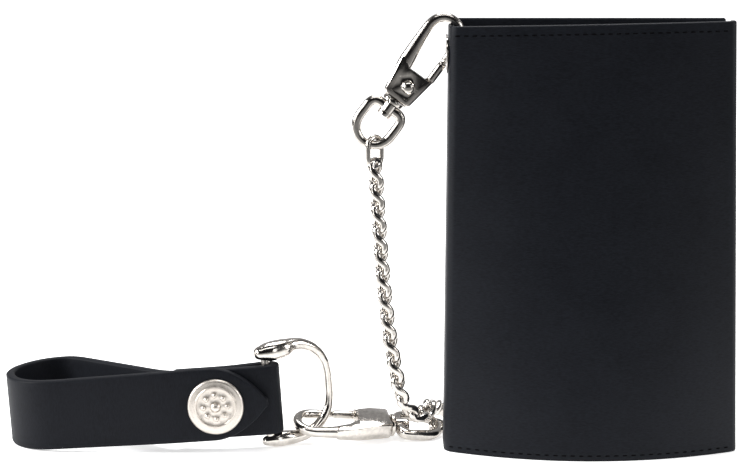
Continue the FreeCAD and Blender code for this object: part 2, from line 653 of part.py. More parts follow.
def lower_matrix(extra=0.0):
    u = LOWER_DIRECTION
    level = UP.cross(u)
    level.normalize()
    rise = u.cross(level)
    a = math.radians(LOWER_LEAN + extra)
    v = level * math.cos(a) - rise * math.sin(a)
    return frame_matrix(LOWER_START, u, v, u.cross(v))


def strap_placed(shape):
    copy = shape.copy()
    copy.rotate(V(LOOP_X - STRAP_LOOP_R - STRAP_THICK / 2, 0, 0), V(0, 1, 0), STRAP_TILT * -1)
    return copy


def main():
    os.makedirs("parts", exist_ok=True)
    for name, shape in make_wallet().items():
        save(name, shape)

    hook = make_hook()
    for name, shape in hook.items():
        save("upper_" + name, placed(shape, upper_matrix()))
        lean = LOWER_EYE_LEAN if name == "eye" else 0.0
        save("lower_" + name, placed(shape, lower_matrix(lean)))

    frames = lay_links()
    solids = []
    for index, (centre, t, w, n) in enumerate(frames):
        if index == 0:
            solids.append(link_solid(centre, t, w, n, LINK_LENGTH, LINK_WIDTH, 0, FIRST_WIRE))
        else:
            solids.append(link_solid(centre, t, w, n, LINK_LENGTH, LINK_WIDTH, LINK_TWIST, WIRE))
    single = 17
    for index in range(single):
        save("link_%02d" % (index + 1), solids[index])
    rest = solids[single:]
    groups = [rest[k:k + 4] for k in range(0, len(rest), 4)]
    for index, group in enumerate(groups):
        save("chain_run_%d" % (index + 1), Part.makeCompound(group))

    for name, shape in make_strap().items():
        save(name, strap_placed(shape))
    ring = make_ring()
    ring.rotate(V(0, 0, 0), UP, RING_TURN)
    ring.translate(V(BAR_X, BAR_Y, STRAP / 2 + RING_SLIP))
    save("d_ring", strap_placed(ring))


main()
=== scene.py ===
import math

import bmesh
import bpy
import numpy as np
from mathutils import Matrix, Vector


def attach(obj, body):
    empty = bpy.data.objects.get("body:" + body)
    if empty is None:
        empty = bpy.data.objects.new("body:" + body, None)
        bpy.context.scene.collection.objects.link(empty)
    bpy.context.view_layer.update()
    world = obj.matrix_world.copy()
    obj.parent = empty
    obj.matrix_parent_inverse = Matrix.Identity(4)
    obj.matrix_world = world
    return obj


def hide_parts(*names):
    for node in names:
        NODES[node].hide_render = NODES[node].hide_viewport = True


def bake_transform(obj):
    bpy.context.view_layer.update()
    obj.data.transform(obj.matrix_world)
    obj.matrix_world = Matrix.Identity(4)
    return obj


# Looks for the chain wallet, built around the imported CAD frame. Lengths in the
# functions below are millimetres, and MM turns them into the frame's metres.

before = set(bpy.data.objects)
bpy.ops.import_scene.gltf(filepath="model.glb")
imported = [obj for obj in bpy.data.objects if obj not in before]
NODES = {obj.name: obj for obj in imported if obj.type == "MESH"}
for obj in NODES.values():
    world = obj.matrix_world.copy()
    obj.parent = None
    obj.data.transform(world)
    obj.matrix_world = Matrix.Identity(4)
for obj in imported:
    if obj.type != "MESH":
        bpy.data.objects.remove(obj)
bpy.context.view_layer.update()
MM = 0.001
WELD = 2e-6
CREASE = 50.0


# ---- mesh helpers  ----
def make_object(name, verts, faces, smooth_angle=40.0):
    """A mesh object from points in millimetres, smooth except at sharp edges."""
    mesh = bpy.data.meshes.new(name)
    mesh.from_pydata([tuple(c * MM for c in v) for v in verts], [], faces)
    mesh.validate()
    bm = bmesh.new()
    bm.from_mesh(mesh)
    bmesh.ops.remove_doubles(bm, verts=bm.verts, dist=WELD)
    bmesh.ops.recalc_face_normals(bm, faces=bm.faces)
    limit = math.radians(smooth_angle)
    for face in bm.faces:
        face.smooth = True
    for edge in bm.edges:
        edge.smooth = not (len(edge.link_faces) == 2 and edge.calc_face_angle(0.0) > limit)
    bm.to_mesh(mesh)
    bm.free()
    obj = bpy.data.objects.new(name, mesh)
    bpy.context.scene.collection.objects.link(obj)
    return obj


def grid_shell(loops, closed=False):
    """Faces joining equal loops of points, with both ends capped."""
    verts = [p for loop in loops for p in loop]
    n = len(loops[0])
    faces = []
    last = len(loops) if closed else len(loops) - 1
    for i in range(last):
        a = i * n
        b = ((i + 1) % len(loops)) * n
        for k in range(n):
            m = (k + 1) % n
            faces.append((a + k, a + m, b + m, b + k))
    if not closed:
        faces.append(tuple(range(n - 1, -1, -1)))
        faces.append(tuple(range((len(loops) - 1) * n, len(loops) * n)))
    return verts, faces


def joined(verts, faces, more_verts, more_faces):
    """Two sets of points and faces as one."""
    return verts + more_verts, faces + [tuple(i + len(verts) for i in face) for face in more_faces]


def clamp(value):
    return max(0.0, min(1.0, value))


def sheet(name, stations, thick, edge, rows, place, soft_ends=(True, True)):
    """A sheet of leather with eased edges.

    stations: list of (s, z0, z1). place(s, z) gives the middle point and the
    outward normal there, both as 3 numbers. edge is the rounding radius."""
    half = thick / 2.0
    arc = [math.radians(a) for a in (0, 22.5, 45, 67.5, 90)]
    # the end columns are drawn in so that the ends are rounded too
    (s0, za0, za1), (s1, zb0, zb1) = stations[0], stations[-1]
    full = []
    for back, a in ((0.0, 0.0), (0.3, 0.55), (1.0, 1.0)) if soft_ends[0] else ((0.0, 1.0),):
        full.append((s0 + edge * back, za0, za1, edge * (1 - a)))
    for s, z0, z1 in stations[1:-1]:
        if s0 + edge * 1.01 < s < s1 - edge * 1.01:
            full.append((s, z0, z1, 0.0))
    for back, a in ((1.0, 1.0), (0.3, 0.55), (0.0, 0.0)) if soft_ends[1] else ((0.0, 1.0),):
        full.append((s1 - edge * back, zb0, zb1, edge * (1 - a)))
    loops = []
    for s, z0, z1, inset in full:
        z0 = z0 + inset
        z1 = z1 - inset
        h = half - inset
        e = max(edge - inset, 0.02)
        loop = []
        for k in range(rows + 1):
            z = z0 + e + (z1 - z0 - 2 * e) * k / rows
            loop.append((h, z))
        for a in arc[1:]:
            loop.append((h - e + e * math.cos(a), z1 - e + e * math.sin(a)))
        for a in reversed(arc[1:]):
            loop.append((-(h - e + e * math.cos(a)), z1 - e + e * math.sin(a)))
        for k in range(rows, -1, -1):
            z = z0 + e + (z1 - z0 - 2 * e) * k / rows
            loop.append((-h, z))
        for a in arc[1:]:
            loop.append((-(h - e + e * math.cos(a)), z0 + e - e * math.sin(a)))
        for a in reversed(arc[1:]):
            loop.append((h - e + e * math.cos(a), z0 + e - e * math.sin(a)))
        points = []
        for offset, z in loop:
            p, n = place(s, z)
            points.append((p[0] + n[0] * offset, p[1] + n[1] * offset, p[2] + n[2] * offset))
        loops.append(points)
    verts, faces = grid_shell(loops)
    return make_object(name, verts, faces, CREASE)


def rounded_line(points, radii, step=0.8):
    """A plan line through points with rounded corners, as evenly spaced points
    and the length up to each."""
    out = [np.array(points[0], float)]
    for i in range(1, len(points) - 1):
        p = np.array(points[i], float)
        a = np.array(points[i - 1], float) - p
        b = np.array(points[i + 1], float) - p
        r = radii[i]
        if r <= 0:
            out.append(p)
            continue
        a /= np.linalg.norm(a)
        b /= np.linalg.norm(b)
        turn = math.acos(max(-1.0, min(1.0, float(a @ b))))
        cut = r / math.tan(turn / 2)
        start, end = p + a * cut, p + b * cut
        centre = p + (a + b) / np.linalg.norm(a + b) * (r / math.sin(turn / 2))
        a0 = math.atan2(*(start - centre)[::-1])
        a1 = math.atan2(*(end - centre)[::-1])
        while a1 - a0 > math.pi:
            a1 -= 2 * math.pi
        while a1 - a0 < -math.pi:
            a1 += 2 * math.pi
        count = max(4, int(abs(a1 - a0) / math.radians(9)))
        for k in range(count + 1):
            t = a0 + (a1 - a0) * k / count
            out.append(centre + r * np.array((math.cos(t), math.sin(t))))
    out.append(np.array(points[-1], float))
    dense = [out[0]]
    for p in out[1:]:
        gap = np.linalg.norm(p - dense[-1])
        if gap < 1e-6:
            continue
        count = max(1, int(gap / step))
        base = dense[-1]
        for k in range(1, count + 1):
            dense.append(base + (p - base) * k / count)
    pts = np.array(dense)
    return pts, run_of(pts)


def run_of(pts):
    """Length along a line up to each of its points."""
    return np.concatenate(([0.0], np.cumsum(np.linalg.norm(np.diff(pts, axis=0), axis=1))))


def eased_line(points, step, passes):
    """A plan line through points, divided evenly and then smoothed."""
    points = [np.array(p, float) for p in points]
    dense = [points[0]]
    for p in points[1:]:
        base = dense[-1]
        count = max(1, int(np.linalg.norm(p - base) / step))
        for k in range(1, count + 1):
            dense.append(base + (p - base) * k / count)
    dense = np.array(dense)
    for _ in range(passes):
        dense[1:-1] = dense[1:-1] * 0.5 + (dense[:-2] + dense[2:]) * 0.25
    return PlanLine(dense, run_of(dense))


class PlanLine:
    """A line in plan that can be asked for its point and direction."""

    def __init__(self, pts, run):
        self.pts, self.run = pts, run
        tangent = np.gradient(pts, run, axis=0)
        tangent /= np.linalg.norm(tangent, axis=1)[:, None]
        self.tangent = tangent

    def at(self, s):
        x = np.interp(s, self.run, self.pts[:, 0])
        y = np.interp(s, self.run, self.pts[:, 1])
        tx = np.interp(s, self.run, self.tangent[:, 0])
        ty = np.interp(s, self.run, self.tangent[:, 1])
        size = math.hypot(tx, ty)
        return x, y, tx / size, ty / size

    @property
    def length(self):
        return float(self.run[-1])


# ---- materials  ----
def new_material(name):
    material = bpy.data.materials.new(name)
    material.use_nodes = True
    nodes = material.node_tree.nodes
    links = material.node_tree.links
    return material, nodes, links, nodes["Principled BSDF"]


def add(nodes, kind, **values):
    node = nodes.new(kind)
    for key, value in values.items():
        if key in node.inputs:
            node.inputs[key].default_value = value
        else:
            setattr(node, key, value)
    return node


def ramp(nodes, stops):
    node = nodes.new("ShaderNodeValToRGB")
    node.color_ramp.elements[0].position = stops[0][0]
    node.color_ramp.elements[0].color = stops[0][1]
    node.color_ramp.elements[1].position = stops[-1][0]
    node.color_ramp.elements[1].color = stops[-1][1]
    for position, colour in stops[1:-1]:
        element = node.color_ramp.elements.new(position)
        element.color = colour
    return node


def leather(name, dark, light, grain, rough, streak=(1.0, 1.0, 5.0), bump=0.14, shine=0.11):
    """Smooth dyed leather: fine pebble grain, faint streaks, soft mottling."""
    material, nodes, links, shader = new_material(name)
    coords = nodes.new("ShaderNodeTexCoord")
    stretch = add(nodes, "ShaderNodeMapping")
    stretch.inputs["Scale"].default_value = streak
    links.new(coords.outputs["Object"], stretch.inputs["Vector"])
    mottle = add(nodes, "ShaderNodeTexNoise", Scale=60.0, Detail=4.0, Roughness=0.6)
    links.new(coords.outputs["Object"], mottle.inputs["Vector"])
    fibres = add(nodes, "ShaderNodeTexNoise", Scale=900.0, Detail=3.0, Roughness=0.55)
    links.new(stretch.outputs["Vector"], fibres.inputs["Vector"])
    pebble = add(nodes, "ShaderNodeTexVoronoi", Scale=grain, feature="DISTANCE_TO_EDGE")
    warp = add(nodes, "ShaderNodeTexNoise", Scale=grain * 0.6, Detail=2.0)
    links.new(coords.outputs["Object"], warp.inputs["Vector"])
    shift = add(nodes, "ShaderNodeMixRGB")
    shift.inputs["Fac"].default_value = 0.002
    links.new(coords.outputs["Object"], shift.inputs["Color1"])
    links.new(warp.outputs["Color"], shift.inputs["Color2"])
    links.new(shift.outputs["Color"], pebble.inputs["Vector"])
    calm = add(nodes, "ShaderNodeMath", operation="MULTIPLY_ADD")
    links.new(mottle.outputs["Fac"], calm.inputs[0])
    calm.inputs[1].default_value = 0.35
    calm.inputs[2].default_value = 0.03
    mix = add(nodes, "ShaderNodeMath", operation="MULTIPLY_ADD")
    links.new(fibres.outputs["Fac"], mix.inputs[0])
    mix.inputs[1].default_value = 1.2
    links.new(calm.outputs["Value"], mix.inputs[2])
    colour = ramp(nodes, [(0.50, (*dark, 1)), (1.0, (*light, 1))])
    links.new(mix.outputs["Value"], colour.inputs["Fac"])
    links.new(colour.outputs["Color"], shader.inputs["Base Color"])
    gloss = add(nodes, "ShaderNodeMapRange")
    gloss.inputs["From Min"].default_value = 0.3
    gloss.inputs["From Max"].default_value = 0.7
    gloss.inputs["To Min"].default_value = rough - 0.03
    gloss.inputs["To Max"].default_value = rough + 0.03
    links.new(mottle.outputs["Fac"], gloss.inputs["Value"])
    links.new(gloss.outputs["Result"], shader.inputs["Roughness"])
    fine = add(nodes, "ShaderNodeBump", Strength=bump, Distance=0.00008)
    links.new(pebble.outputs["Distance"], fine.inputs["Height"])
    second = add(nodes, "ShaderNodeBump", Strength=bump * 0.8, Distance=0.00006)
    links.new(fibres.outputs["Fac"], second.inputs["Height"])
    links.new(fine.outputs["Normal"], second.inputs["Normal"])
    links.new(second.outputs["Normal"], shader.inputs["Normal"])
    shader.inputs["Specular IOR Level"].default_value = shine
    return material


def cloth(name, dark, light, scale):
    """Fine twill."""
    material, nodes, links, shader = new_material(name)
    coords = nodes.new("ShaderNodeTexCoord")
    turn = add(nodes, "ShaderNodeMapping")
    turn.inputs["Rotation"].default_value = (0.0, math.radians(55), 0.0)
    links.new(coords.outputs["Object"], turn.inputs["Vector"])
    wave = add(nodes, "ShaderNodeTexWave", Scale=scale, Distortion=0.4)
    links.new(turn.outputs["Vector"], wave.inputs["Vector"])
    colour = ramp(nodes, [(0.2, (*dark, 1)), (0.8, (*light, 1))])
    links.new(wave.outputs["Fac"], colour.inputs["Fac"])
    links.new(colour.outputs["Color"], shader.inputs["Base Color"])
    bump = add(nodes, "ShaderNodeBump", Strength=0.4, Distance=0.0001)
    links.new(wave.outputs["Fac"], bump.inputs["Height"])
    links.new(bump.outputs["Normal"], shader.inputs["Normal"])
    shader.inputs["Roughness"].default_value = 0.85
    shader.inputs["Sheen Weight"].default_value = 0.3
    return material


def nickel(name, colour, rough, scale=260.0, depth=0.00003, tarnish=0.8):
    """Polished nickel plate with a faint casting ripple and even, mottled wear."""
    material, nodes, links, shader = new_material(name)
    coords = nodes.new("ShaderNodeTexCoord")
    ripple = add(nodes, "ShaderNodeTexNoise", Scale=scale, Detail=3.0, Roughness=0.5)
    links.new(coords.outputs["Object"], ripple.inputs["Vector"])
    wear = add(nodes, "ShaderNodeTexNoise", Scale=scale * 3.3, Detail=5.0, Roughness=0.65)
    links.new(coords.outputs["Object"], wear.inputs["Vector"])
    shade = ramp(nodes, [(0.32, (*[c * tarnish for c in colour], 1)), (0.62, (*colour, 1))])
    links.new(wear.outputs["Fac"], shade.inputs["Fac"])
    links.new(shade.outputs["Color"], shader.inputs["Base Color"])
    gloss = add(nodes, "ShaderNodeMapRange")
    gloss.inputs["From Min"].default_value = 0.3
    gloss.inputs["From Max"].default_value = 0.75
    gloss.inputs["To Min"].default_value = rough * 0.7
    gloss.inputs["To Max"].default_value = rough * 1.6
    links.new(wear.outputs["Fac"], gloss.inputs["Value"])
    links.new(gloss.outputs["Result"], shader.inputs["Roughness"])
    bump = add(nodes, "ShaderNodeBump", Strength=0.5, Distance=depth)
    links.new(ripple.outputs["Fac"], bump.inputs["Height"])
    links.new(bump.outputs["Normal"], shader.inputs["Normal"])
    shader.inputs["Metallic"].default_value = 1.0
    return material


def thread(name):
    """Dark waxed thread, banded along its length."""
    material, nodes, links, shader = new_material(name)
    coords = nodes.new("ShaderNodeTexCoord")
    wave = add(nodes, "ShaderNodeTexWave", Scale=900.0, Distortion=1.5)
    links.new(coords.outputs["Object"], wave.inputs["Vector"])
    colour = ramp(nodes, [(0.2, (0.0008, 0.0008, 0.0010, 1)), (0.9, (0.0045, 0.0047, 0.0055, 1))])
    links.new(wave.outputs["Fac"], colour.inputs["Fac"])
    links.new(colour.outputs["Color"], shader.inputs["Base Color"])
    shader.inputs["Roughness"].default_value = 0.85
    shader.inputs["Specular IOR Level"].default_value = 0.03
    return material


def window_plastic(name):
    """Clear plastic with a little haze."""
    material, nodes, links, shader = new_material(name)
    coords = nodes.new("ShaderNodeTexCoord")
    haze = add(nodes, "ShaderNodeTexNoise", Scale=120.0, Detail=3.0)
    links.new(coords.outputs["Object"], haze.inputs["Vector"])
    gloss = add(nodes, "ShaderNodeMapRange")
    gloss.inputs["To Min"].default_value = 0.05
    gloss.inputs["To Max"].default_value = 0.25
    links.new(haze.outputs["Fac"], gloss.inputs["Value"])
    links.new(gloss.outputs["Result"], shader.inputs["Roughness"])
    shader.inputs["Base Color"].default_value = (0.9, 0.92, 0.93, 1)
    shader.inputs["Transmission Weight"].default_value = 0.9
    shader.inputs["IOR"].default_value = 1.45
    return material


WALLET = leather("wallet_leather_look", (0.0030, 0.0035, 0.0050), (0.0080, 0.0094, 0.0128), 1500.0, 0.47)
STRAP_LOOK = leather("strap_leather_look", (0.0024, 0.0028, 0.0042), (0.0062, 0.0072, 0.0100), 1100.0, 0.55,
                     (5.0, 1.0, 1.0), 0.14, 0.10)
POCKET = leather("pocket_leather_look", (0.005, 0.0055, 0.0065), (0.012, 0.0128, 0.015), 1700.0, 0.52)
LINING = cloth("lining_look", (0.006, 0.006, 0.007), (0.022, 0.022, 0.025), 700.0)
THREAD = thread("thread_look")
WINDOW = window_plastic("window_look")
NICKEL = nickel("cast_nickel_look", (0.60, 0.565, 0.525), 0.13)
CHAIN = nickel("chain_nickel_look", (0.62, 0.585, 0.545), 0.14, 420.0, 0.00002)
CAP = nickel("cap_nickel_look", (0.60, 0.555, 0.505), 0.34, 900.0, 0.00003, 0.8)
STEEL = nickel("spring_steel_look", (0.5, 0.5, 0.51), 0.25)


def finish_piece(obj, material, slot, *nodes):
    obj.data.materials.clear()
    obj.data.materials.append(material)
    if nodes:
        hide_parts(*nodes)


# ---- CAD metal: smooth shading and eased edges  ----
def shading_group():
    """Welds the mesh and shades it smooth except at sharp edges."""
    group = bpy.data.node_groups.new("smooth_cad", "GeometryNodeTree")
    group.interface.new_socket("Geometry", in_out="INPUT", socket_type="NodeSocketGeometry")
    group.interface.new_socket("Geometry", in_out="OUTPUT", socket_type="NodeSocketGeometry")
    nodes, links = group.nodes, group.links
    source = nodes.new("NodeGroupInput")
    result = nodes.new("NodeGroupOutput")
    weld = nodes.new("GeometryNodeMergeByDistance")
    weld.inputs["Distance"].default_value = WELD
    faces = nodes.new("GeometryNodeSetShadeSmooth")
    faces.domain = "FACE"
    faces.inputs["Shade Smooth"].default_value = True
    edges = nodes.new("GeometryNodeSetShadeSmooth")
    edges.domain = "EDGE"
    edges.inputs["Shade Smooth"].default_value = False
    angle = nodes.new("GeometryNodeInputMeshEdgeAngle")
    test = nodes.new("FunctionNodeCompare")
    test.data_type = "FLOAT"
    test.operation = "GREATER_THAN"
    test.inputs["B"].default_value = math.radians(32)
    links.new(source.outputs[0], weld.inputs["Geometry"])
    links.new(weld.outputs["Geometry"], faces.inputs["Geometry"])
    links.new(faces.outputs["Geometry"], edges.inputs["Geometry"])
    links.new(angle.outputs["Unsigned Angle"], test.inputs["A"])
    links.new(test.outputs["Result"], edges.inputs["Selection"])
    links.new(edges.outputs["Geometry"], result.inputs[0])
    return group


SMOOTH = shading_group()


def dress(node, material, bevel=0.0):
    obj = NODES[node]
    obj.data.materials.clear()
    obj.data.materials.append(material)
    weld = obj.modifiers.new("weld", "WELD")
    weld.merge_threshold = WELD
    if bevel:
        ease = obj.modifiers.new("ease", "BEVEL")
        ease.width = bevel * MM
        ease.segments = 2
        ease.limit_method = "ANGLE"
        ease.angle_limit = math.radians(34)
        ease.use_clamp_overlap = True
    smooth = obj.modifiers.new("smooth", "NODES")
    smooth.node_group = SMOOTH


for end in ("upper_", "lower_"):
    dress(end + "body", NICKEL, 0.12)
    dress(end + "gate", NICKEL, 0.06)
    dress(end + "gate_spring", STEEL)
    dress(end + "washer", NICKEL, 0.2)
    dress(end + "swivel_post", NICKEL, 0.2)
dress("eyelet_flange", NICKEL, 0.12)
dress("eyelet_washer", NICKEL, 0.1)
dress("snap_cap", CAP, 0.08)
dress("snap_socket", NICKEL, 0.1)
dress("snap_stud", NICKEL, 0.1)
dress("snap_post", NICKEL, 0.15)
dress("id_window", WINDOW)

# ---- cast hardware  ----
def frame_of(origin, u, v):
    u, v = np.array(u, float), np.array(v, float)
    return np.array(origin, float), u, v, np.cross(u, v)


def swept(path, sizes, place, closed=False, count=20, square=2.5):
    """A cast bar along a flat path. sizes are its half widths in the path's
    plane and through it. place turns plane coordinates into the set's."""
    path = np.array(path, float)
    n = len(path)
    loops = []

    def ring(centre, normal, a, b):
        out = []
        for k in range(count):
            angle = 2 * math.pi * k / count
            c, q = math.cos(angle), math.sin(angle)
            x = a * math.copysign(abs(c) ** (2 / square), c)
            y = b * math.copysign(abs(q) ** (2 / square), q)
            out.append(place(centre[0] + normal[0] * x, centre[1] + normal[1] * x, y))
        return out

    for i in range(n):
        before = path[i - 1] if (closed or i > 0) else path[i]
        after = path[(i + 1) % n] if (closed or i < n - 1) else path[i]
        tangent = (after - before) / np.linalg.norm(after - before)
        normal = (-tangent[1], tangent[0])
        a, b = sizes[i]
        if not closed and i == 0:
            for back, f in ((0.95, 0.3), (0.8, 0.6), (0.45, 0.88)):
                loops.append(ring(path[i] - tangent * back * min(a, b), normal, a * f, b * f))
        loops.append(ring(path[i], normal, a, b))
        if not closed and i == n - 1:
            for back, f in ((0.45, 0.88), (0.8, 0.6), (0.95, 0.3)):
                loops.append(ring(path[i] + tangent * back * min(a, b), normal, a * f, b * f))
    return grid_shell(loops, closed=closed)


def turned_part(profile, origin, axis, count=32):
    """A lathe-turned part: profile is (along the axis, radius)."""
    axis = np.array(axis, float)
    helper = np.array((0.0, 0.0, 1.0)) if abs(axis[2]) < 0.9 else np.array((1.0, 0.0, 0.0))
    e = np.cross(axis, helper)
    e /= np.linalg.norm(e)
    f = np.cross(axis, e)
    loops = []
    for along, radius in profile:
        loops.append([tuple(np.array(origin) + axis * along + (e * math.cos(2 * math.pi * k / count)
                      + f * math.sin(2 * math.pi * k / count)) * radius) for k in range(count)])
    return grid_shell(loops)


def smooth_path(keys, step=0.5):
    """Keys are (u, v, in-plane, through); straight runs between them."""
    path, sizes = [], []
    for a, b in zip(keys[:-1], keys[1:]):
        a, b = np.array(a, float), np.array(b, float)
        count = max(1, int(np.linalg.norm(b[:2] - a[:2]) / step))
        for k in range(count):
            p = a + (b - a) * k / count
            path.append(p[:2])
            sizes.append(p[2:])
    path.append(np.array(keys[-1][:2], float))
    sizes.append(np.array(keys[-1][2:], float))
    path, sizes = np.array(path), np.array(sizes)
    for _ in range(4):
        path[1:-1] = path[1:-1] * 0.5 + (path[:-2] + path[2:]) * 0.25
        sizes[1:-1] = sizes[1:-1] * 0.5 + (sizes[:-2] + sizes[2:]) * 0.25
    return path, sizes


def arc_keys(centre, radius, a0, a1, size0, size1, step=10.0):
    count = max(2, int(abs(a1 - a0) / step))
    out = []
    for k in range(count + 1):
        f = k / count
        a = math.radians(a0 + (a1 - a0) * f)
        out.append((centre[0] + radius * math.cos(a), centre[1] + radius * math.sin(a),
                    size0[0] + (size1[0] - size0[0]) * f, size0[1] + (size1[1] - size0[1]) * f))
    return out


HOOK_LONG = 26.9
BOW_R = 4.5
ARC_U = HOOK_LONG - BOW_R - 0.95
NOSE_U = 15.5
PIN = (4.7, -0.8)
EYE_BAR_U = -2.7
EYE_ARC_U = -9.0
EYE_HALF = 5.0


def lower_axes(lean):
    u = np.array((-0.960, -0.257, 0.092))
    u /= np.linalg.norm(u)
    level = np.cross((0.0, 0.0, 1.0), u)
    level /= np.linalg.norm(level)
    rise = np.cross(u, level)
    a = math.radians(lean)
    return u, level * math.cos(a) - rise * math.sin(a)


ANGLE = math.radians(53.5)
UPPER_AXES = ((math.cos(ANGLE), 0, math.sin(ANGLE)), (-math.sin(ANGLE), 0, math.cos(ANGLE)))
UPPER_SWIVEL = (-51.75, -6.6, 93.85)
LOWER_SWIVEL = (-53.1, 0.7, 3.75)
HOOKS = {
    "upper": (frame_of(UPPER_SWIVEL, *UPPER_AXES), frame_of(UPPER_SWIVEL, *UPPER_AXES),
              "upper_hook", "upper_gate", "upper_eye"),
    "lower": (frame_of(LOWER_SWIVEL, *lower_axes(20.0)), frame_of(LOWER_SWIVEL, *lower_axes(17.0)),
              "lower_clasp", "lower_gate", "lower_eye"),
}

for end, (hook_frame, eye_frame, hook_body, gate_body, eye_body) in HOOKS.items():
    def put(a, b, c, f=hook_frame):
        return tuple(f[0] + f[1] * a + f[2] * b + f[3] * c)

    def put_eye(a, b, c, f=eye_frame):
        return tuple(f[0] + f[1] * a + f[2] * b + f[3] * c)

    keys = [(6.5, 3.25, 1.7, 1.66), (9.4, 3.55, 2.15, 1.66),
            (13.0, 3.95, 1.85, 1.62), (17.0, 4.30, 1.52, 1.48)]
    keys += arc_keys((ARC_U, 0), BOW_R, 90, -90, (1.30, 1.34), (1.22, 1.24))
    keys += [(NOSE_U + 1.0, -BOW_R, 1.12, 1.12)]
    path, sizes = smooth_path(keys)
    bow = make_object(end + "_bow", *swept(path, sizes, put), CREASE)
    finish_piece(bow, NICKEL, "cast_nickel")
    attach(bow, hook_body)

    path, sizes = smooth_path([(9.6, -BOW_R, 1.12, 1.12), (NOSE_U - 1.1, -BOW_R, 1.12, 1.12)])
    bar = make_object(end + "_gate_bar", *swept(path, sizes, put), CREASE)
    finish_piece(bar, NICKEL, "cast_nickel")
    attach(bar, gate_body)

    rivet = [(2.42, 0.05), (2.36, 0.6), (2.22, 1.05), (1.98, 1.45), (1.66, 1.72), (1.62, 0.7),
             (-1.62, 0.7), (-1.66, 1.72), (-1.98, 1.45), (-2.22, 1.05), (-2.36, 0.6), (-2.42, 0.05)]
    pin = make_object(end + "_rivet", *turned_part(rivet, put(PIN[0], PIN[1], 0), hook_frame[3]), CREASE)
    finish_piece(pin, NICKEL, "cast_nickel", end + "_gate_pin")
    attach(pin, hook_body)

    corner = 2.0
    keys = [(EYE_BAR_U, 0.0, 1.35, 1.45), (EYE_BAR_U, EYE_HALF - corner, 1.35, 1.45)]
    keys += arc_keys((EYE_BAR_U - corner, EYE_HALF - corner), corner, 0, 90, (1.35, 1.45), (1.35, 1.40), 15)
    keys += arc_keys((EYE_ARC_U, 0), EYE_HALF, 90, 180, (1.42, 1.40), (1.10, 1.12))
    half = [np.array(k, float) for k in keys]
    ring_keys = half + [np.array((k[0], -k[1], k[2], k[3])) for k in reversed(half[1:-1])]
    dense = []
    for i, a in enumerate(ring_keys):
        b = ring_keys[(i + 1) % len(ring_keys)]
        count = max(1, int(np.linalg.norm(b[:2] - a[:2]) / 0.6))
        dense += [a + (b - a) * k / count for k in range(count)]
    dense = np.array(dense)
    for _ in range(3):
        dense = dense * 0.5 + (np.roll(dense, 1, 0) + np.roll(dense, -1, 0)) * 0.25
    verts, faces = swept(dense[:, :2], dense[:, 2:], put_eye, closed=True)
    barrel = [(-1.40, 1.25), (-1.40, 1.75), (-1.60, 2.05), (-3.9, 2.05), (-4.1, 1.8), (-4.1, 1.25)]
    verts, faces = joined(verts, faces, *turned_part(barrel, put_eye(0, 0, 0), eye_frame[1]))
    eye = make_object(end + "_eye_casting", verts, faces, CREASE)
    finish_piece(eye, NICKEL, "cast_nickel", end + "_eye")
    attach(eye, eye_body)

# The lower clasp's casting is thick at the swivel and thins towards the bow.
# Each section: place along the clasp, then its two sides and its two faces.
SHELL_SECTIONS = ((0.15, -3.6, 3.6, -1.3, 2.4), (0.4, -3.95, 3.95, -1.62, 2.75),
                  (1.0, -4.2, 4.25, -1.74, 2.9), (5.0, -4.6, 5.0, -1.78, 2.75),
                  (8.6, -4.4, 5.6, -1.78, 2.4), (9.3, 0.8, 5.75, -1.76, 2.25),
                  (12.0, 2.4, 5.85, -1.72, 1.98), (15.5, 3.1, 5.8, -1.60, 1.66),
                  (16.1, 3.5, 5.5, -1.2, 1.3))


def clasp_shell():
    f = HOOKS["lower"][0]
    loops = []
    e = 0.55
    for u, v0, v1, w0, w1 in SHELL_SECTIONS:
        corners = [(v0, w0 + e), (v0, w1 - e), (v0 + e * 0.3, w1 - e * 0.3), (v0 + e, w1), (v1 - e, w1),
                   (v1 - e * 0.3, w1 - e * 0.3), (v1, w1 - e), (v1, w0 + e), (v1 - e * 0.3, w0 + e * 0.3),
                   (v1 - e, w0), (v0 + e, w0), (v0 + e * 0.3, w0 + e * 0.3)]
        loops.append([tuple(f[0] + f[1] * u + f[2] * v + f[3] * w) for v, w in corners])
    return grid_shell(loops)


shell = make_object("lower_shell", *clasp_shell(), 40.0)
finish_piece(shell, NICKEL, "cast_nickel")
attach(shell, "lower_clasp")

# D ring: a thin bow that swells into a teardrop at each end of its bar.
RING_HALF = 14.5
RING_REACH = 18.4
RING_CORNER = 10.5
RING_LIFT = 18.8 / 2 + 0.65
RING_ANGLE = math.radians(28.5)
RING_TILT = math.radians(3.9)
RING_PIVOT = -141.3 - 10.1 - 1.2


def put_ring(p, q, c):
    x = p * math.cos(RING_ANGLE) - c * math.sin(RING_ANGLE) - 84.9
    y = p * math.sin(RING_ANGLE) + c * math.cos(RING_ANGLE) - 9.8
    z = q + RING_LIFT
    x0 = x - RING_PIVOT
    return (RING_PIVOT + x0 * math.cos(RING_TILT) - z * math.sin(RING_TILT), y,
            x0 * math.sin(RING_TILT) + z * math.cos(RING_TILT))


def ring_half(side, swell_by):
    centre = (RING_REACH - RING_CORNER, side * (RING_HALF - 1.0 - RING_CORNER))
    keys = []
    for p, q, a in ((-1.2, 12.35, 1.35), (0.2, 12.35, 1.90), (2.2, 12.40, 2.15),
                    (4.4, 12.50, 2.12), (6.4, 12.70, 1.95)):
        keys.append((p, side * (q - swell_by), a + swell_by, (a + swell_by) * 1.05))
    for degrees, a in ((90, 1.80), (72, 1.58), (54, 1.38), (36, 1.22), (18, 1.10), (0, 1.05)):
        t = math.radians(degrees)
        r = RING_CORNER - (a - 1.0)
        keys.append((centre[0] + r * math.cos(t), centre[1] + side * r * math.sin(t), a, a * 1.06))
    return keys


